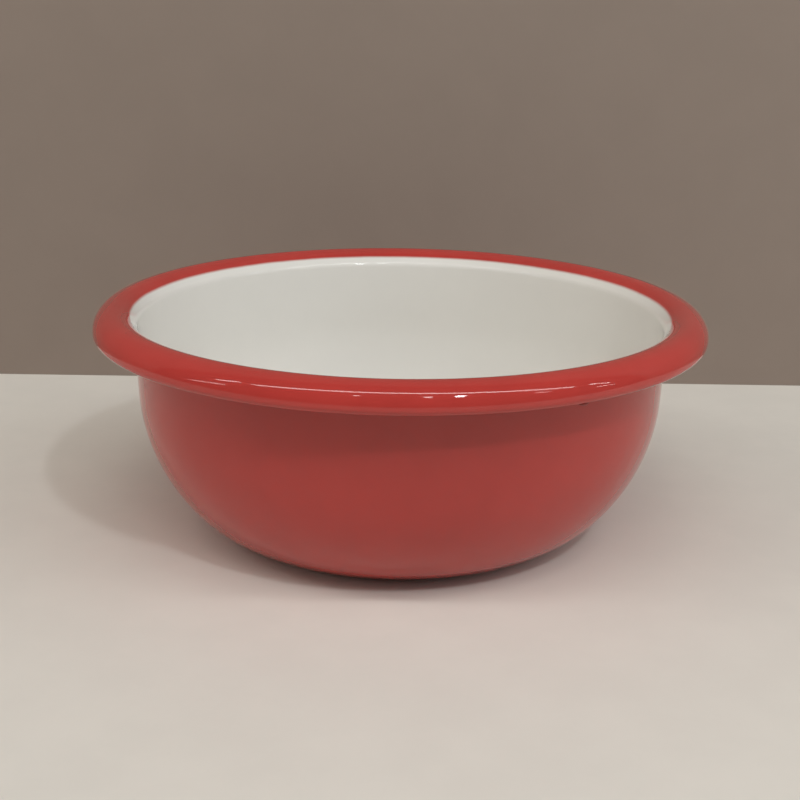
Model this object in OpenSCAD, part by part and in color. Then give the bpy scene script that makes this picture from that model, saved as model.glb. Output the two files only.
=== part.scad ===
// Enamelled steel bowl with a rolled rim: white inside, red outside and over the rim.
// The sheet is pressed to one path, drawn on its outside face, and every coat follows that path at its own depth.
// All sizes are in millimetres and degrees. The base stands on z = 0 and the axis is Z.

/* [Overall] */
// Outside diameter over the rolled rim
rim_d = 200; // [180:1:220]
// Height from the base to the crest of the rim
bowl_h = 76; // [68:1:90]

/* [Wall] */
// Diameter of the flat base
base_d = 92; // [80:1:104]
// Turn of the belly bend, up from the base
belly_turn = 48; // [44:1:56]
// Outside radius of the wider bend above the belly
wall_r = 59; // [54:1:70]
// Lean of the straight wall under the rim, from upright
wall_lean = 2; // [1:0.5:6]

/* [Rim] */
// Inside radius of the neck bend, from the wall out to the ramp
neck_r = 2; // [1.4:0.1:3]
// Length of the straight ramp, from the neck up to the shoulder
ramp_l = 2.3; // [1.5:0.1:3.1]
// Slope of the ramp, from level. The white lining meets the red rim at the top of the ramp
ramp_slope = 50; // [44:1:58]
// Inside radius of the shoulder bend, from the ramp up to the crest
shoulder_r = 5.7; // [4.7:0.1:6.7]
// Inside radius of the crown bend, from the crest to the outer edge
crown_r = 5.3; // [4.3:0.1:6.3]
// Inside radius of the bend that rolls the edge under
curl_r = 0.8; // [0.4:0.1:1.6]
// Gap between the rolled edge and the wall
edge_gap = 4; // [3:0.1:5]

/* [Sheet and coats] */
// Thickness of the steel sheet
steel_t = 0.6; // [0.4:0.05:0.9]
// Thickness of the dark ground coat on each face of the sheet
ground_t = 0.1; // [0.05:0.01:0.15]
// Thickness of the coloured cover coat on each face
cover_t = 0.2; // [0.1:0.01:0.3]

/* [Smoothness] */
// Largest turn between two points of a bend
bend_step = 5; // [3:1:10]

/* [Hidden] */
$fn = 180;

// Depths below the outside face at which one layer ends and the next begins
outer_cover = cover_t;
outer_ground = outer_cover + ground_t;
steel_face = outer_ground + steel_t;
inner_ground = steel_face + ground_t;
full_t = inner_ground + cover_t;

// Unit directions of a path that runs at a slope, measured from level: along it, and towards its lined face
function along(slope) = [cos(slope), sin(slope)];
function to_lining(slope) = [-sin(slope), cos(slope)];

// Bend centres of the rim, set from its outer edge and crest
crown_c = [rim_d / 2 - full_t - crown_r, bowl_h - full_t - crown_r];
shoulder_c = [crown_c.x, bowl_h - full_t - shoulder_r];
curl_c = [rim_d / 2 - full_t - curl_r, crown_c.y];

// The ramp hangs from the shoulder, the neck bend from the ramp, and the straight wall ends where the neck begins
wall_slope = 90 - wall_lean;
ramp_foot = shoulder_c + shoulder_r * to_lining(ramp_slope) - ramp_l * along(ramp_slope);
neck_c = ramp_foot - neck_r * to_lining(ramp_slope);
wall_top = neck_c + neck_r * to_lining(wall_slope);

// The belly radius is the one that makes base, belly, upper bend and straight wall run on smoothly
wall_bend = wall_r * [sin(wall_slope) - sin(belly_turn), cos(belly_turn) - cos(wall_slope)];
belly_reach = wall_top - [base_d / 2, 0] - wall_bend;
belly_share = sin(belly_turn) * sin(wall_slope) - (1 - cos(belly_turn)) * cos(wall_slope);
belly_r = (belly_reach.x * sin(wall_slope) - belly_reach.y * cos(wall_slope)) / belly_share;
belly_c = [base_d / 2, belly_r];
wall_c = belly_c + (wall_r - belly_r) * to_lining(belly_turn);

// The rolled edge stops short of the wall, in the middle of its own thickness
edge_z = curl_c.y - curl_r - full_t / 2;
wall_at_edge = wall_top.x - (wall_top.y - edge_z) * tan(wall_lean);
edge_r = wall_at_edge + edge_gap + full_t / 2;

// Points of a bend at a depth. The radius is negative where the centre lies on the lined side
function bend(centre, radius, from, to, depth) =
    let (steps = ceil(abs(to - from) / bend_step))
    [for (i = [0:steps]) centre + (radius + depth) * to_lining(from + (to - from) * i / steps)];

function without_first(points) = [for (i = [1:len(points) - 1]) points[i]];
function reversed(points) = [for (i = [len(points) - 1:-1:0]) points[i]];

// From the middle of the base up to the line where the colours meet
function bowl_path(depth) = concat(
    [[0, depth]],
    bend(belly_c, -belly_r, 0, belly_turn, depth),
    without_first(bend(wall_c, -wall_r, belly_turn, wall_slope, depth)),
    bend(neck_c, neck_r, wall_slope, ramp_slope, depth),
    [shoulder_c + (shoulder_r + depth) * to_lining(ramp_slope)]);

// From the line where the colours meet, over the crest and under to the rolled edge
function rim_path(depth) = concat(
    bend(shoulder_c, shoulder_r, ramp_slope, 0, depth),
    without_first(bend(crown_c, crown_r, 0, -90, depth)),
    without_first(bend(curl_c, curl_r, -90, -180, depth)),
    [[edge_r, curl_c.y - curl_r - depth]]);

// From the middle of the base to the rolled edge, and the same from the edge of the base
function sheet_path(depth) = concat(bowl_path(depth), without_first(rim_path(depth)));
function wall_path(depth) = without_first(sheet_path(depth));

// Round bead of red glass over the raw edge, from the underside of the rim up to its hidden face
bead_points = bend([edge_r, edge_z], full_t / 2, -180, -360, 0);

module turned(outline) rotate_extrude() polygon(outline);

module layer(depth_from, depth_to) turned(concat(sheet_path(depth_from), reversed(sheet_path(depth_to))));

// Pressed sheet: base, belly, wall and hollow rolled rim in one piece
module steel_shell() color("slategray") layer(outer_ground, steel_face);

// Dark bonding glass under the white lining and the red rim
module ground_coat_inside() color("#26282d") layer(steel_face, inner_ground);

// Dark bonding glass under the red outside
module ground_coat_outside() color("#26282d") layer(outer_cover, outer_ground);

// White glass over the whole inside, up to the top of the ramp
module white_lining() color("#e8e4dc") turned(concat(bowl_path(inner_ground), reversed(bowl_path(full_t))));

// Red glass under the flat base, which the bowl stands on
module red_base_coat() color("#a82e26") cylinder(d = base_d, h = outer_cover);

// Red glass from the edge of the base up the wall and round the hidden face of the rolled rim
module red_outer_coat()
    color("#b8342b") turned(concat(wall_path(0), reversed(wall_path(outer_cover))));

// Red glass over the crest and under the roll, ending in the bead that seals the raw edge
module red_rim_coat()
    color("#c03a30") turned(concat(rim_path(full_t), without_first(bead_points), reversed(rim_path(inner_ground))));

steel_shell();
ground_coat_inside();
ground_coat_outside();
white_lining();
red_base_coat();
red_outer_coat();
red_rim_coat();
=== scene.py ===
"""Enamelled steel bowl, white inside, red outside and over its rolled rim, laid out as an add-on.

Every layer of the bowl follows one path, drawn on the outside face of the sheet: flat base, belly bend,
wider wall bend, straight wall, neck, ramp, shoulder, crown and curl. A layer is that path drawn at two depths
and spun about Z.
"""

import math

import bmesh
import bpy
from bpy.props import FloatProperty, FloatVectorProperty, IntProperty, PointerProperty
from mathutils import Matrix, Vector


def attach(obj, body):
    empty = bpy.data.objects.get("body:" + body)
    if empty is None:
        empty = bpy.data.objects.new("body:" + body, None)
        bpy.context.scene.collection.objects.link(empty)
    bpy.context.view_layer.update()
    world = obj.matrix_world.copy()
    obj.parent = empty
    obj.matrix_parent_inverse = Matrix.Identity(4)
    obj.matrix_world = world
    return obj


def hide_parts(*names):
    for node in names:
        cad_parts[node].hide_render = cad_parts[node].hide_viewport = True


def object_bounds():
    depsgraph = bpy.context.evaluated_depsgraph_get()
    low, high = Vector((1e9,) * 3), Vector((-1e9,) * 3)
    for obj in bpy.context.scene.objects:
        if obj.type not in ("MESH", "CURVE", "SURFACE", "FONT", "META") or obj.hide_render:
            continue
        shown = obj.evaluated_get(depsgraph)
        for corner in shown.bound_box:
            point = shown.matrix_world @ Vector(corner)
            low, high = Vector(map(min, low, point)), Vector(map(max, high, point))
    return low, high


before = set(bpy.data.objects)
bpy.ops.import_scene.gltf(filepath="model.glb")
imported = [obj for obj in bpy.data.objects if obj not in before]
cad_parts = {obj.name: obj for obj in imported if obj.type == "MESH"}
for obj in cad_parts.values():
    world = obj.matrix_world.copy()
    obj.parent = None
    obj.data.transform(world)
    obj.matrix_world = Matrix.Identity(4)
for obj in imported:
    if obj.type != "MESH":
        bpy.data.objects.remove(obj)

CAD_LOW, CAD_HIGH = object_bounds()
ROOT = "root"
MM = 0.001

bl_info = {
    "name": "Enamel Bowl",
    "version": (1, 0, 0),
    "blender": (4, 5, 0),
    "location": "View3D > Sidebar > Bowl",
    "description": "Builds an enamelled steel bowl with a rolled rim, layer by layer",
    "category": "Add Mesh",
}


# Property helpers

def length(name, description, millimetres):
    """A length property, given in millimetres and kept in metres."""
    return FloatProperty(name=name, description=description, default=millimetres * MM, min=0.0,
                         precision=5, unit="LENGTH", subtype="DISTANCE")


def angle(name, description, degrees):
    """An angle property, given in degrees and kept in radians."""
    return FloatProperty(name=name, description=description, default=math.radians(degrees), subtype="ANGLE")


def colour(name, description, rgb):
    """A linear colour property."""
    return FloatVectorProperty(name=name, description=description, default=rgb, size=3, min=0.0, max=1.0,
                               subtype="COLOR")


def amount(name, description, value, top=1.0):
    """A plain number from nothing up to a top value."""
    return FloatProperty(name=name, description=description, default=value, min=0.0, max=top)


class BowlSizes(bpy.types.PropertyGroup):
    """Sizes of the pressing and its coats. Radii of the wall are outside, radii of the rim are inside."""

    rim_diameter: length("Rim diameter", "Outside diameter over the rolled rim", 2 * CAD_HIGH.x / MM)
    height: length("Height", "From the base to the crest of the rim", CAD_HIGH.z / MM)
    base_diameter: length("Base diameter", "Diameter of the flat base", 92)
    belly_turn: angle("Belly turn", "Turn of the belly bend, up from the base", 48)
    wall_radius: length("Wall radius", "Outside radius of the wider bend above the belly", 59)
    wall_lean: angle("Wall lean", "Lean of the straight wall, from upright", 2)
    neck_radius: length("Neck radius", "Inside radius of the bend from the wall out to the ramp", 2)
    ramp_length: length("Ramp length", "Straight ramp from the neck up to the shoulder", 2.3)
    ramp_slope: angle("Ramp slope", "Slope of the ramp. White meets red at its top", 50)
    shoulder_radius: length("Shoulder radius", "Inside radius of the bend from the ramp to the crest", 5.7)
    crown_radius: length("Crown radius", "Inside radius of the bend from the crest to the outer edge", 5.3)
    curl_radius: length("Curl radius", "Inside radius of the bend that rolls the edge under", 0.8)
    edge_gap: length("Edge gap", "Gap between the rolled edge and the wall", 4)
    steel: length("Steel", "Thickness of the sheet", 0.6)
    ground: length("Ground coat", "Thickness of each dark ground coat", 0.1)
    cover: length("Cover coat", "Thickness of each coloured coat", 0.2)
    around: IntProperty(name="Steps around", description="Steps of the full turn", default=240, min=24)
    wall_step: angle("Wall step", "Turn of one step along the wall's bends", 2.5)
    rim_step: angle("Rim step", "Turn of one step along the rim's bends", 5)


class BowlFinish(bpy.types.PropertyGroup):
    """Colours and gloss of the glass and the metal."""

    red: colour("Red", "Red glass", (0.473, 0.0465, 0.0375))
    white: colour("White", "White glass", (0.742, 0.725, 0.675))
    # A darker red for the small drop of glass that hangs under the lip
    drop_red: colour("Drop", "Glass of the mark under the lip", (0.32, 0.03, 0.02))
    ground: colour("Ground", "Dark bonding glass", (0.012, 0.013, 0.018))
    steel: colour("Steel", "Bare sheet", (0.42, 0.43, 0.45))
    gloss: amount("Roughness", "Roughness of the lining and the rim", 0.04)
    outside_gloss: amount("Outside roughness", "Roughness of the red outside", 0.09)
    drop_gloss: amount("Burnt roughness", "Roughness of the mark under the lip", 0.5)
    ground_gloss: amount("Ground roughness", "Roughness of the dark bonding glass", 0.3)
    steel_gloss: amount("Steel roughness", "Roughness of the bare sheet", 0.42)
    fade: length("Fade", "Width over which the red thins out on the white", 0.9)


class BowlStage(bpy.types.PropertyGroup):
    """Camera, lamps, floor and backdrop."""

    distance: length("Camera distance", "From the axis of the bowl to the camera, level", 421.15)
    eye_height: length("Camera height", "From the floor to the camera", 171.98)
    tilt: angle("Camera tilt", "Downward tilt of the view", 17.218)
    yaw: angle("Camera yaw", "Turn of the view to the right", 0.025)
    roll: angle("Camera roll", "Turn of the camera about its view", 0.856)
    lens: FloatProperty(name="Lens", description="Focal length in millimetres", default=58.5, min=1.0)
    sensor: FloatProperty(name="Sensor", description="Sensor width in millimetres", default=36.0, min=1.0)
    backdrop_gap: length("Backdrop", "From the axis of the bowl back to the backdrop", 166)
    floor: colour("Floor", "Pale floor", (0.708, 0.679, 0.614))
    backdrop: colour("Backdrop", "Plain warm grey backdrop", (0.258, 0.205, 0.168))
    ambient: amount("Ambient", "Strength of the even light from all round", 0.06, 10.0)
    lamps: amount("Lamps", "Share of the power of the lamps that show in the glass", 1.0, 10.0)
    panels: amount("Panels", "Share of the power of the lamps that don't show in the glass", 1.0, 10.0)


# Profile of the bowl

def along(slope):
    """Unit direction of a path that runs at a slope, measured from level."""
    return Vector((math.cos(slope), 0.0, math.sin(slope)))


def to_lining(slope):
    """Unit normal, towards the lined face, of a path that runs at a slope."""
    return Vector((-math.sin(slope), 0.0, math.cos(slope)))


class Profile:
    """Bend centres and depths worked out from the sizes, in the XZ plane."""

    def __init__(self, sizes):
        self.sizes = sizes
        self.outer_cover = sizes.cover
        self.outer_ground = self.outer_cover + sizes.ground
        self.steel_face = self.outer_ground + sizes.steel
        self.inner_ground = self.steel_face + sizes.ground
        self.full = self.inner_ground + sizes.cover
        self.wall_slope = math.pi / 2 - sizes.wall_lean
        self.base_radius = sizes.base_diameter / 2
        rim_radius = sizes.rim_diameter / 2
        crown_x = rim_radius - self.full - sizes.crown_radius
        crown_z = sizes.height - self.full - sizes.crown_radius
        self.crown = Vector((crown_x, 0.0, crown_z))
        self.shoulder = Vector((crown_x, 0.0, sizes.height - self.full - sizes.shoulder_radius))
        self.curl = Vector((rim_radius - self.full - sizes.curl_radius, 0.0, crown_z))
        self.place_neck()
        self.place_belly()
        self.place_edge()

    def place_neck(self):
        """The ramp hangs from the shoulder, and the neck bend from the ramp."""
        sizes = self.sizes
        foot = self.ramp_top(0.0) - sizes.ramp_length * along(sizes.ramp_slope)
        self.neck = foot - sizes.neck_radius * to_lining(sizes.ramp_slope)
        self.wall_top = self.wall_end(0.0)

    def place_belly(self):
        """The belly radius is the one that lets base, bends and straight wall run on smoothly."""
        turn, slope, radius = self.sizes.belly_turn, self.wall_slope, self.sizes.wall_radius
        reach_x = self.wall_top.x - self.base_radius - radius * (math.sin(slope) - math.sin(turn))
        reach_z = self.wall_top.z - radius * (math.cos(turn) - math.cos(slope))
        share = math.sin(turn) * math.sin(slope) - (1 - math.cos(turn)) * math.cos(slope)
        belly_radius = (reach_x * math.sin(slope) - reach_z * math.cos(slope)) / share
        self.belly = Vector((self.base_radius, 0.0, belly_radius))
        self.wall = self.belly + (radius - belly_radius) * to_lining(turn)

    def place_edge(self):
        """The rolled edge stops short of the wall."""
        sizes = self.sizes
        edge_z = self.curl.z - sizes.curl_radius - self.full / 2
        wall_x = self.wall_top.x - (self.wall_top.z - edge_z) * math.tan(sizes.wall_lean)
        self.edge = Vector((wall_x + sizes.edge_gap + self.full / 2, 0.0, edge_z))

    def wall_end(self, depth):
        """Where the straight wall runs into the neck bend, at a depth."""
        return self.neck + (self.sizes.neck_radius + depth) * to_lining(self.wall_slope)

    def ramp_top(self, depth):
        """Where the ramp runs into the shoulder bend, and white meets red, at a depth."""
        return self.shoulder + (self.sizes.shoulder_radius + depth) * to_lining(self.sizes.ramp_slope)

    def lip(self):
        """Lowest point of the lip at the front, just outside the middle of the curl."""
        sizes = self.sizes
        radius = self.curl.x + sizes.curl_radius / 2
        return Vector((0.0, -radius, self.curl.z - sizes.curl_radius - self.full))


MIN_BEND_STEPS = 2
STEP_SLACK = 1e-6


class Pen:
    """Draws one line of a section in a bmesh, stretch after stretch, in the XZ plane."""

    AXIS = (0.0, 1.0, 0.0)

    def __init__(self, bm, start):
        self.bm = bm
        self.tip = bm.verts.new(start)
        self.start = self.tip

    def line(self, goal, steps=1):
        """A straight stretch to a goal, in equal steps."""
        step = (Vector(goal) - self.tip.co) / steps
        for _ in range(steps):
            made = bmesh.ops.extrude_vert_indiv(self.bm, verts=[self.tip])
            self.tip = made["verts"][0]
            bmesh.ops.translate(self.bm, verts=[self.tip], vec=step)

    def bend(self, centre, turn, step):
        """An arc about a centre. A positive turn bends to the right, away from the lined face."""
        steps = max(MIN_BEND_STEPS, math.ceil(abs(turn) / step - STEP_SLACK))
        made = bmesh.ops.spin(self.bm, geom=[self.tip], cent=centre, axis=self.AXIS, angle=turn, steps=steps)
        self.tip = next(v for v in made["geom_last"] if isinstance(v, bmesh.types.BMVert))


BASE_STEPS = 6
WALL_STEPS = 8
RAMP_STEPS = 2
RETURN_STEPS = 3
BEAD_STEP = math.radians(15)


def base_stroke(pen, profile, depth):
    """From the axis to the edge of the flat base."""
    pen.line((profile.base_radius, 0.0, depth), BASE_STEPS)


def wall_stroke(pen, profile, depth):
    """From the edge of the base up the wall to the line where the colours meet."""
    sizes = profile.sizes
    pen.bend(profile.belly, -sizes.belly_turn, sizes.wall_step)
    pen.bend(profile.wall, sizes.belly_turn - profile.wall_slope, sizes.wall_step)
    pen.line(profile.wall_end(depth), WALL_STEPS)
    pen.bend(profile.neck, profile.wall_slope - sizes.ramp_slope, sizes.rim_step)
    pen.line(profile.ramp_top(depth), RAMP_STEPS)


def rim_stroke(pen, profile, depth):
    """From the line where the colours meet, over the crest and under to the rolled edge."""
    sizes = profile.sizes
    quarter = math.pi / 2
    pen.bend(profile.shoulder, sizes.ramp_slope, sizes.rim_step)
    pen.bend(profile.crown, quarter, sizes.rim_step)
    pen.bend(profile.curl, quarter, sizes.rim_step)
    pen.line((profile.edge.x, 0.0, profile.curl.z - sizes.curl_radius - depth), RETURN_STEPS)


def stroke_start(stroke, profile, depth):
    """Where a stroke begins, at a depth."""
    if stroke is rim_stroke:
        return profile.ramp_top(depth)
    return Vector((profile.base_radius if stroke is wall_stroke else 0.0, 0.0, depth))


def draw_section(bm, profile, strokes, depths, bead=False):
    """Draws the same strokes at two depths and joins their ends. A bead rounds off the end of the second."""
    pens = []
    for depth in depths:
        pen = Pen(bm, stroke_start(strokes[0], profile, depth))
        for stroke in strokes:
            stroke(pen, profile, depth)
        pens.append(pen)
    if bead:
        pens[1].bend(profile.edge, math.pi, BEAD_STEP)
    bm.edges.new([pen.tip for pen in pens])
    if strokes[0] is not base_stroke:
        bm.edges.new([pen.start for pen in pens])


SHARP = math.radians(50)
MERGE = 1e-7


def spun_piece(name, node, material, profile, strokes, depths, bead=False):
    """Spins the section of a layer about the axis into a closed piece that stands for a CAD node."""
    bm = bmesh.new()
    draw_section(bm, profile, strokes, depths, bead)
    bmesh.ops.spin(bm, geom=bm.verts[:] + bm.edges[:], cent=(0, 0, 0), axis=(0, 0, 1), angle=math.tau,
                   steps=profile.sizes.around, use_merge=True)
    bmesh.ops.remove_doubles(bm, verts=bm.verts[:], dist=MERGE)
    bmesh.ops.recalc_face_normals(bm, faces=bm.faces[:])
    for face in bm.faces:
        face.smooth = True
    piece = add_object(name, bm, material)
    piece.data.set_sharp_from_angle(angle=SHARP)
    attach(piece, ROOT)
    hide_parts(node)
    return piece


def add_object(name, bm, material):
    """Turns a bmesh into an object of the scene, at the origin."""
    mesh = bpy.data.meshes.new(name)
    bm.to_mesh(mesh)
    bm.free()
    piece = bpy.data.objects.new(name, mesh)
    bpy.context.scene.collection.objects.link(piece)
    mesh.materials.append(material)
    return piece


# Shader node groups

# Sockets of the Mix node when it mixes colours
MIX_FACTOR, MIX_FIRST, MIX_SECOND, MIX_RESULT = 0, 6, 7, 2


class Nodes:
    """Adds and wires nodes in one node tree."""

    def __init__(self, tree):
        self.tree = tree

    def add(self, kind, inputs=None, **settings):
        """A node with its settings, and its inputs by name, as values or as sockets to link."""
        node = self.tree.nodes.new(kind)
        for key, value in settings.items():
            setattr(node, key, value)
        for key, value in (inputs or {}).items():
            if isinstance(value, bpy.types.NodeSocket):
                self.tree.links.new(value, node.inputs[key])
            else:
                node.inputs[key].default_value = value
        return node

    def math(self, operation, first, second=0.0, third=0.0):
        """The result of a Math node."""
        node = self.add("ShaderNodeMath", {0: first, 1: second, 2: third}, operation=operation)
        return node.outputs[0]

    def mix(self, factor, first, second):
        """A mix of two colours."""
        wires = {MIX_FACTOR: factor, MIX_FIRST: first, MIX_SECOND: second}
        return self.add("ShaderNodeMix", wires, data_type="RGBA").outputs[MIX_RESULT]

    def ramp(self, value, low, high, to_low=0.0, to_high=1.0):
        """A smooth step from one value to another."""
        wires = {"Value": value, "From Min": low, "From Max": high, "To Min": to_low, "To Max": to_high}
        node = self.add("ShaderNodeMapRange", wires, interpolation_type="SMOOTHSTEP")
        return node.outputs[0]

    def noise(self, vector, scale, detail=2.0, roughness=0.5):
        """Smooth noise from 0 to 1."""
        wires = {"Vector": vector, "Scale": scale, "Detail": detail, "Roughness": roughness}
        return self.add("ShaderNodeTexNoise", wires).outputs[0]

    def object_place(self):
        """Object coordinates, in metres."""
        return self.add("ShaderNodeTexCoord").outputs["Object"]


def new_group(name, inputs, outputs):
    """A shader node group with float or colour sockets, its inner nodes and its group input and output."""
    tree = bpy.data.node_groups.new(name, "ShaderNodeTree")
    for title, value in inputs.items():
        kind = "NodeSocketColor" if isinstance(value, tuple) else "NodeSocketFloat"
        tree.interface.new_socket(title, in_out="INPUT", socket_type=kind).default_value = value
    for title, kind in outputs.items():
        tree.interface.new_socket(title, in_out="OUTPUT", socket_type=kind)
    nodes = Nodes(tree)
    return tree, nodes, nodes.add("NodeGroupInput").outputs, nodes.add("NodeGroupOutput").inputs


# Scales of the patterns in the glass, in spans to the metre, and the share of each noise that shows
FILM_SCALE, FILM_RANGE = 38.0, (0.35, 0.8)
POOL_SCALE, POOL_RANGE = 17.0, (0.3, 0.75)
CLOUD_SCALE, CLOUD_RANGE, CLOUD_SHARE = 130.0, (0.3, 0.8), 0.25
HOLE_SCALE, HOLE_EDGE, HOLE_PICK = 75.0, (0.010, 0.020), 0.8
WOBBLE_SCALE = 55.0


def group_fired_surface():
    """Long waves of the pressing, fine orange peel of the glass and small changes of gloss."""
    inputs = {"Wave Size": 0.05, "Peel Size": 0.004, "Peel Share": 0.04, "Gloss": 0.09, "Gloss Change": 0.03}
    outputs = {"Height": "NodeSocketFloat", "Roughness": "NodeSocketFloat"}
    tree, nodes, given, result = new_group("Fired Surface", inputs, outputs)
    place = nodes.object_place()
    wave = nodes.noise(place, nodes.math("DIVIDE", 1.0, given["Wave Size"]), 1.0, 0.4)
    peel = nodes.noise(place, nodes.math("DIVIDE", 1.0, given["Peel Size"]), 1.0, 0.5)
    height = nodes.math("MULTIPLY_ADD", peel, given["Peel Share"], wave)
    film = nodes.noise(place, FILM_SCALE, 4.0, 0.6)
    change = nodes.math("MULTIPLY", nodes.ramp(film, *FILM_RANGE), given["Gloss Change"])
    tree.links.new(height, result["Height"])
    tree.links.new(nodes.math("ADD", given["Gloss"], change), result["Roughness"])
    return tree


def group_glass_depth():
    """Slow change of a colour, as the glass lies thicker or thinner, with sparse pinholes."""
    inputs = {"Colour": (0.5, 0.5, 0.5, 1.0), "Thick": (0.4, 0.4, 0.4, 1.0), "Pinhole": (0.1, 0.1, 0.1, 1.0)}
    tree, nodes, given, result = new_group("Glass Depth", inputs, {"Colour": "NodeSocketColor"})
    place = nodes.object_place()
    pool = nodes.ramp(nodes.noise(place, POOL_SCALE, 3.0, 0.55), *POOL_RANGE)
    cloud = nodes.ramp(nodes.noise(place, CLOUD_SCALE, 2.0, 0.5), *CLOUD_RANGE)
    depth = nodes.math("MULTIPLY_ADD", cloud, CLOUD_SHARE, pool)
    shade = nodes.mix(depth, given["Colour"], given["Thick"])
    cells = nodes.add("ShaderNodeTexVoronoi", {"Vector": place, "Scale": HOLE_SCALE, "Randomness": 1.0})
    picked = nodes.add("ShaderNodeSeparateColor", {"Color": cells.outputs["Color"]}).outputs[0]
    dot = nodes.ramp(cells.outputs["Distance"], *HOLE_EDGE, to_low=1.0, to_high=0.0)
    hole = nodes.math("MULTIPLY", dot, nodes.math("GREATER_THAN", picked, HOLE_PICK))
    tree.links.new(nodes.mix(hole, shade, given["Pinhole"]), result["Colour"])
    return tree


def group_colour_line():
    """Share of red over white: none inside the line, all outside it, with a soft and slightly uneven edge."""
    inputs = {"Line Radius": 0.0886, "Fade": 0.0005, "Wobble": 0.0003}
    tree, nodes, given, result = new_group("Colour Line", inputs, {"Red Share": "NodeSocketFloat"})
    place = nodes.object_place()
    parts = nodes.add("ShaderNodeSeparateXYZ", {0: place}).outputs
    flat = nodes.add("ShaderNodeCombineXYZ", {0: parts[0], 1: parts[1]}).outputs[0]
    radius = nodes.add("ShaderNodeVectorMath", {0: flat}, operation="LENGTH").outputs["Value"]
    uneven = nodes.math("SUBTRACT", nodes.noise(place, WOBBLE_SCALE, 3.0, 0.6), 0.5)
    moved = nodes.math("MULTIPLY_ADD", uneven, given["Wobble"], radius)
    half = nodes.math("MULTIPLY", given["Fade"], 0.5)
    low = nodes.math("SUBTRACT", given["Line Radius"], half)
    high = nodes.math("ADD", given["Line Radius"], half)
    tree.links.new(nodes.ramp(moved, low, high), result["Red Share"])
    return tree


def shader_group(builder, name):
    """A node group, built the first time that it is asked for."""
    return bpy.data.node_groups.get(name) or builder()


def rgba(rgb, level=1.0):
    """A colour with full alpha, lighter or darker by a level."""
    return tuple(min(1.0, part * level) for part in rgb) + (1.0,)


class Material:
    """A node material with one Principled shader and the groups that drive it."""

    def __init__(self, name):
        self.made = bpy.data.materials.new(name)
        self.made.use_nodes = True
        self.nodes = Nodes(self.made.node_tree)
        self.shader = self.made.node_tree.nodes["Principled BSDF"].inputs

    def link(self, socket, name):
        """Feeds a socket into an input of the shader."""
        self.made.node_tree.links.new(socket, self.shader[name])

    def group(self, builder, name, inputs):
        """Places a node group and gives its outputs."""
        tree = shader_group(builder, name)
        return self.nodes.add("ShaderNodeGroup", inputs, node_tree=tree).outputs

    def depth(self, rgb, thick_level, pinhole):
        """A colour that changes with the depth of the glass, up to its level where that is thick."""
        inputs = {"Colour": rgba(rgb), "Thick": rgba(rgb, thick_level), "Pinhole": pinhole}
        return self.group(group_glass_depth, "Glass Depth", inputs)["Colour"]

    def fired(self, roughness, wave_depth):
        """The surface of fired glass: its gloss and a bump of a given depth in millimetres."""
        surface = self.group(group_fired_surface, "Fired Surface", {"Gloss": roughness})
        wires = {"Strength": 1.0, "Distance": wave_depth * MM, "Height": surface["Height"]}
        self.link(self.nodes.add("ShaderNodeBump", wires).outputs[0], "Normal")
        self.link(surface["Roughness"], "Roughness")


PINHOLE_RED = (0.10, 0.02, 0.016, 1.0)
PINHOLE_WHITE = (0.30, 0.27, 0.23, 1.0)
GLASS_IOR = 1.5

# How light each finish is where it lies thick, against its plain shade
RED_THICK = 0.88
WHITE_THICK = 0.97
DROP_THICK = 0.5
GROUND_THICK, GROUND_PINHOLE = 0.6, 2.0
STEEL_THICK, STEEL_PINHOLE = 0.8, 0.4

# Depth of the waves of each surface, in millimetres
WHITE_WAVES = 0.06
RIM_WAVES = 0.1
OUTSIDE_WAVES = 0.12
DULL_WAVES = 0.05
STEEL_WAVES = 0.02


def red_glass(material, finish):
    """Red glass colour, deeper where it lies thick."""
    return material.depth(finish.red, RED_THICK, PINHOLE_RED)


def white_glass(material, finish):
    """White glass colour, a little darker where it lies thick."""
    return material.depth(finish.white, WHITE_THICK, PINHOLE_WHITE)


def two_colour_enamel(name, profile, finish):
    """White glass inside the colour line and red glass outside it."""
    material = Material(name)
    line = {"Line Radius": profile.ramp_top(profile.full).x, "Fade": finish.fade}
    share = material.group(group_colour_line, "Colour Line", line)["Red Share"]
    shown = material.nodes.mix(share, white_glass(material, finish), red_glass(material, finish))
    material.link(shown, "Base Color")
    material.shader["IOR"].default_value = GLASS_IOR
    return material


def enamel_white(profile, finish):
    """Glossy white lining."""
    material = two_colour_enamel("white enamel", profile, finish)
    material.fired(finish.gloss, WHITE_WAVES)
    return material.made


def enamel_rim(profile, finish):
    """Glossy red rim."""
    material = two_colour_enamel("red rim enamel", profile, finish)
    material.fired(finish.gloss, RIM_WAVES)
    return material.made


def enamel_outside(finish):
    """Glossy red outside."""
    material = Material("red outer enamel")
    material.link(red_glass(material, finish), "Base Color")
    material.shader["IOR"].default_value = GLASS_IOR
    material.fired(finish.outside_gloss, OUTSIDE_WAVES)
    return material.made


def enamel_drop(finish):
    """Dull dark red glass of the small drop under the lip, darker than the red glass."""
    material = Material("lip drop enamel")
    material.link(material.depth(finish.drop_red, DROP_THICK, PINHOLE_RED), "Base Color")
    material.fired(finish.drop_gloss, DULL_WAVES)
    return material.made


def enamel_ground(finish):
    """Dark bonding glass."""
    material = Material("ground enamel")
    pinhole = rgba(finish.ground, GROUND_PINHOLE)
    material.link(material.depth(finish.ground, GROUND_THICK, pinhole), "Base Color")
    material.fired(finish.ground_gloss, DULL_WAVES)
    return material.made


def sheet_steel(finish):
    """Pickled sheet steel."""
    material = Material("sheet steel")
    pinhole = rgba(finish.steel, STEEL_PINHOLE)
    material.link(material.depth(finish.steel, STEEL_THICK, pinhole), "Base Color")
    material.shader["Metallic"].default_value = 1.0
    material.fired(finish.steel_gloss, STEEL_WAVES)
    return material.made


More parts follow.
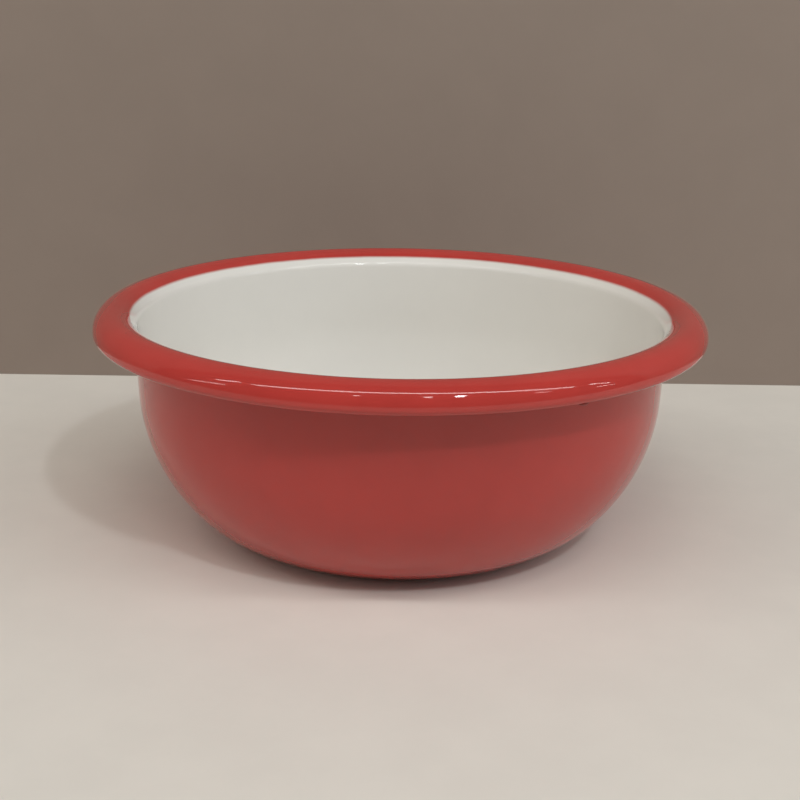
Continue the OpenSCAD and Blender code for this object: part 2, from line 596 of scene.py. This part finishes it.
def settings():
    """The sizes, worked out as a profile, and the finish."""
    scene = bpy.context.scene
    return Profile(scene.bowl_sizes), scene.bowl_finish


# Operators, one for each layer or group of layers

class BOWL_OT_white_lining(bpy.types.Operator):
    """Makes the white glass over the inside of the bowl"""

    bl_idname = "bowl.white_lining"
    bl_label = "White Lining"

    def execute(self, context):
        profile, finish = settings()
        spun_piece("lining_white", "white_lining", enamel_white(profile, finish),
                   profile, (base_stroke, wall_stroke), (profile.inner_ground, profile.full))
        return {"FINISHED"}


class BOWL_OT_red_rim_coat(bpy.types.Operator):
    """Makes the red glass over the rolled rim, with the bead on its edge"""

    bl_idname = "bowl.red_rim_coat"
    bl_label = "Red Rim Coat"

    def execute(self, context):
        profile, finish = settings()
        spun_piece("rim_red", "red_rim_coat", enamel_rim(profile, finish),
                   profile, (rim_stroke,), (profile.inner_ground, profile.full), bead=True)
        return {"FINISHED"}


# A small drop of darker red glass hangs under the lip, this far round from the front
MARK_TURN = math.radians(30.5)
MARK_HALF_SIZES = (1.6 * MM, 0.7 * MM, 0.5 * MM)
MARK_STEPS, MARK_RINGS = 24, 12


class BOWL_OT_lip_drop(bpy.types.Operator):
    """Makes a small drop of dull dark red glass under the lip"""

    bl_idname = "bowl.firing_mark"
    bl_label = "Lip Drop"

    def execute(self, context):
        profile, finish = settings()
        bm = bmesh.new()
        bmesh.ops.create_uvsphere(bm, u_segments=MARK_STEPS, v_segments=MARK_RINGS, radius=1.0)
        shape = Matrix.Diagonal((*MARK_HALF_SIZES, 1.0))
        turn = Matrix.Rotation(MARK_TURN, 4, "Z")
        place = turn @ Matrix.Translation(profile.lip())
        bmesh.ops.transform(bm, verts=bm.verts[:], matrix=place @ shape)
        for face in bm.faces:
            face.smooth = True
        mark = add_object("firing_mark", bm, enamel_drop(finish))
        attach(mark, ROOT)
        return {"FINISHED"}


class BOWL_OT_red_outer_coat(bpy.types.Operator):
    """Makes the red glass over the outside of the bowl and under its base"""

    bl_idname = "bowl.red_outer_coat"
    bl_label = "Red Outer Coat"

    def execute(self, context):
        profile, finish = settings()
        depths = (0.0, profile.outer_cover)
        red = enamel_outside(finish)
        spun_piece("outside_red", "red_outer_coat", red,
                   profile, (wall_stroke, rim_stroke), depths)
        spun_piece("base_red", "red_base_coat", red,
                   profile, (base_stroke,), depths)
        return {"FINISHED"}


class BOWL_OT_inner_layers(bpy.types.Operator):
    """Makes the steel sheet and the dark ground coats on its two faces"""

    bl_idname = "bowl.inner_layers"
    bl_label = "Sheet and Ground Coats"

    def execute(self, context):
        profile, finish = settings()
        whole = (base_stroke, wall_stroke, rim_stroke)
        dark = enamel_ground(finish)
        spun_piece("ground_outside", "ground_coat_outside", dark,
                   profile, whole, (profile.outer_cover, profile.outer_ground))
        spun_piece("sheet", "steel_shell", sheet_steel(finish),
                   profile, whole, (profile.outer_ground, profile.steel_face))
        spun_piece("ground_inside", "ground_coat_inside", dark,
                   profile, whole, (profile.steel_face, profile.inner_ground))
        return {"FINISHED"}


# Stage: floor, backdrop, lamps and camera

FLOOR_REACH = 3.0
GRAIN_SCALE, GRAIN_RANGE = 40.0, (0.3, 0.7)
GRAIN_DARK, GRAIN_LIGHT = 0.985, 1.015
MATTE = 0.6


def plain_matte(name, rgb, one_sided=False):
    """A matte stage material with a faint grain. A one-sided one can't be seen from behind."""
    material = Material(name)
    nodes = material.nodes
    grain = nodes.ramp(nodes.noise(nodes.object_place(), GRAIN_SCALE, 4.0, 0.6), *GRAIN_RANGE)
    material.link(nodes.mix(grain, rgba(rgb, GRAIN_DARK), rgba(rgb, GRAIN_LIGHT)), "Base Color")
    material.shader["Roughness"].default_value = MATTE
    if one_sided:
        tree = material.made.node_tree
        back = nodes.add("ShaderNodeNewGeometry").outputs["Backfacing"]
        clear = nodes.add("ShaderNodeBsdfTransparent").outputs[0]
        front = tree.nodes["Principled BSDF"].outputs[0]
        shown = nodes.add("ShaderNodeMixShader", {0: back, 1: front, 2: clear})
        tree.links.new(shown.outputs[0], tree.nodes["Material Output"].inputs["Surface"])
    return material.made


def add_floor(stage):
    """A pale floor that reaches well past the bowl on every side."""
    bm = bmesh.new()
    bmesh.ops.create_grid(bm, x_segments=1, y_segments=1, size=FLOOR_REACH)
    floor = add_object("stage_floor", bm, plain_matte("stage floor", stage.floor))


def add_backdrop(stage):
    """A plain upright backdrop behind the bowl, which faces the camera."""
    bm = bmesh.new()
    bmesh.ops.create_grid(bm, x_segments=1, y_segments=1, size=FLOOR_REACH)
    turn = Matrix.Rotation(math.pi / 2, 4, "X")
    place = Matrix.Translation((0.0, stage.backdrop_gap, FLOOR_REACH))
    bmesh.ops.transform(bm, verts=bm.verts[:], matrix=place @ turn)
    backdrop = add_object("stage_backdrop", bm, plain_matte("stage backdrop", stage.backdrop, one_sided=True))


def add_lamp(name, matrix, width, depth, power, tint):
    """A rectangular lamp that shines along its own -Z."""
    lamp = bpy.data.lights.new(name, "AREA")
    lamp.shape = "RECTANGLE"
    lamp.size = width
    lamp.size_y = depth
    lamp.energy = power
    lamp.color = tint
    holder = bpy.data.objects.new(name, lamp)
    holder.matrix_world = matrix
    bpy.context.scene.collection.objects.link(holder)
    return holder


PLAIN = (1.0, 1.0, 1.0)
COOL = (0.9, 0.95, 1.0)
WARM = (1.0, 0.94, 0.88)
NARROW = math.radians(45)
WIDE = math.radians(180)

LAMP_HEIGHT = 1.2
# Each lamp that shows in the glass: left and right end at the height of the lamps, depth, watts and tint
LAMPS = {
    "strip_main": ((-1.12, -0.613), (1.62, -0.613), 0.10, 7.8, PLAIN),
    "strip_main_left": ((-1.62, -0.47), (-1.14, -0.45), 0.05, 1.2, PLAIN),
    "strip_main_right": ((1.76, -0.45), (2.70, -0.42), 0.05, 2.4, PLAIN),
    "strip_front_left": ((-5.70, -1.15), (-2.30, -1.06), 0.05, 9.5, PLAIN),
    "spot_left": ((-0.38, -1.12), (-0.32, -1.12), 0.05, 0.15, PLAIN),
    "spot_middle": ((0.20, -1.17), (0.27, -1.17), 0.20, 0.45, PLAIN),
    "spot_key": ((0.45, -1.06), (0.53, -1.06), 0.20, 1.8, COOL),
    "spot_right": ((1.34, -1.03), (1.60, -1.02), 0.05, 0.6, PLAIN),
    "strip_front_right": ((3.05, -0.91), (4.80, -0.80), 0.05, 4.8, PLAIN),
}
# Each lamp that doesn't show in the glass: place, width and depth, spread, watts and tint
PANELS = {
    "key": ((0.49, -1.06, LAMP_HEIGHT), 0.08, 0.08, WIDE, 3.25, COOL),
    "panel_front": ((0.0, -0.9, 1.4), 4.0, 1.0, NARROW, 2.3, WARM),
    "panel_left": ((-1.8, -0.3, 0.9), 2.0, 1.6, WIDE, 13.0, WARM),
    "panel_right": ((1.8, -0.5, 0.9), 2.0, 1.6, WIDE, 13.6, COOL),
}


def add_strip(name, left, right, depth, power, tint):
    """A lamp between two places, turned to face the bowl. It shows as a bright line or spot in the glass."""
    start = Vector((*left, LAMP_HEIGHT))
    end = Vector((*right, LAMP_HEIGHT))
    middle = (start + end) / 2
    side = (end - start).normalized()
    back = (middle - side * middle.dot(side)).normalized()
    turn = Matrix((side, back.cross(side), back)).transposed().to_4x4()
    add_lamp(name, Matrix.Translation(middle) @ turn, (end - start).length, depth, power, tint)


def add_panel(name, place, width, depth, spread, power, tint):
    """A lamp that faces the bowl. It lights the surfaces and doesn't show in the glass."""
    turn = (-Vector(place)).to_track_quat("-Z", "Y").to_matrix().to_4x4()
    panel = add_lamp(name, Matrix.Translation(place) @ turn, width, depth, power, tint)
    panel.data.spread = spread
    panel.visible_glossy = False


def add_lamps(stage):
    """Lamps in two rows above and in front, a small key lamp, and soft panels in front and at the sides."""
    for name, (left, right, depth, power, tint) in LAMPS.items():
        add_strip(name, left, right, depth, power * stage.lamps, tint)
    for name, (place, width, depth, spread, power, tint) in PANELS.items():
        add_panel(name, place, width, depth, spread, power * stage.panels, tint)


SKY_TINT = (1.0, 0.985, 0.96)


def add_world(stage):
    """Even light from all round."""
    world = bpy.data.worlds.new("studio")
    world.use_nodes = True
    sky = world.node_tree.nodes["Background"].inputs
    sky["Color"].default_value = rgba(SKY_TINT)
    sky["Strength"].default_value = stage.ambient
    bpy.context.scene.world = world


NEAR_CLIP = 0.01


def add_camera(stage):
    """The camera of the photograph: in front, looking down a little, with a slight roll."""
    camera = bpy.data.cameras.new("camera")
    camera.lens = stage.lens
    camera.sensor_width = stage.sensor
    camera.clip_start = NEAR_CLIP
    holder = bpy.data.objects.new("camera", camera)
    place = Matrix.Translation((0.0, -stage.distance, stage.eye_height))
    turn = Matrix.Rotation(-stage.yaw, 4, "Z") @ Matrix.Rotation(math.pi / 2 - stage.tilt, 4, "X")
    holder.matrix_world = place @ turn @ Matrix.Rotation(stage.roll, 4, "Z")
    bpy.context.scene.collection.objects.link(holder)
    bpy.context.scene.camera = holder


class BOWL_OT_stage(bpy.types.Operator):
    """Makes the floor, the backdrop, the lamps and the camera"""

    bl_idname = "bowl.stage"
    bl_label = "Stage"

    def execute(self, context):
        stage = context.scene.bowl_stage
        context.scene.view_settings.view_transform = "Standard"
        add_camera(stage)
        add_floor(stage)
        add_backdrop(stage)
        add_lamps(stage)
        add_world(stage)
        return {"FINISHED"}


class BOWL_PT_panel(bpy.types.Panel):
    """Sizes, finish and the steps of the build"""

    bl_idname = "BOWL_PT_panel"
    bl_label = "Enamel Bowl"
    bl_space_type = "VIEW_3D"
    bl_region_type = "UI"
    bl_category = "Bowl"

    def draw(self, context):
        column = self.layout.column()
        for operator in OPERATORS:
            column.operator(operator.bl_idname)
        for group in (context.scene.bowl_sizes, context.scene.bowl_finish, context.scene.bowl_stage):
            box = self.layout.box()
            for key in group.bl_rna.properties.keys():
                if key not in ("rna_type", "name"):
                    box.prop(group, key)


OPERATORS = (BOWL_OT_stage, BOWL_OT_inner_layers, BOWL_OT_red_outer_coat, BOWL_OT_white_lining,
             BOWL_OT_red_rim_coat, BOWL_OT_lip_drop)
GROUPS = {"bowl_sizes": BowlSizes, "bowl_finish": BowlFinish, "bowl_stage": BowlStage}
CLASSES = (*GROUPS.values(), *OPERATORS, BOWL_PT_panel)


def register():
    """Registers the classes and hangs the property groups on the scene."""
    for cls in CLASSES:
        bpy.utils.register_class(cls)
    for name, group in GROUPS.items():
        setattr(bpy.types.Scene, name, PointerProperty(type=group))


def unregister():
    """Takes the property groups and the classes away again."""
    for name in GROUPS:
        delattr(bpy.types.Scene, name)
    for cls in reversed(CLASSES):
        bpy.utils.unregister_class(cls)


def main():
    """Builds the whole bowl on its stage."""
    register()
    bpy.ops.bowl.stage()
    bpy.ops.bowl.inner_layers()
    bpy.ops.bowl.red_outer_coat()
    bpy.ops.bowl.white_lining()
    bpy.ops.bowl.red_rim_coat()
    bpy.ops.bowl.firing_mark()


if __name__ == "__main__":
    main()
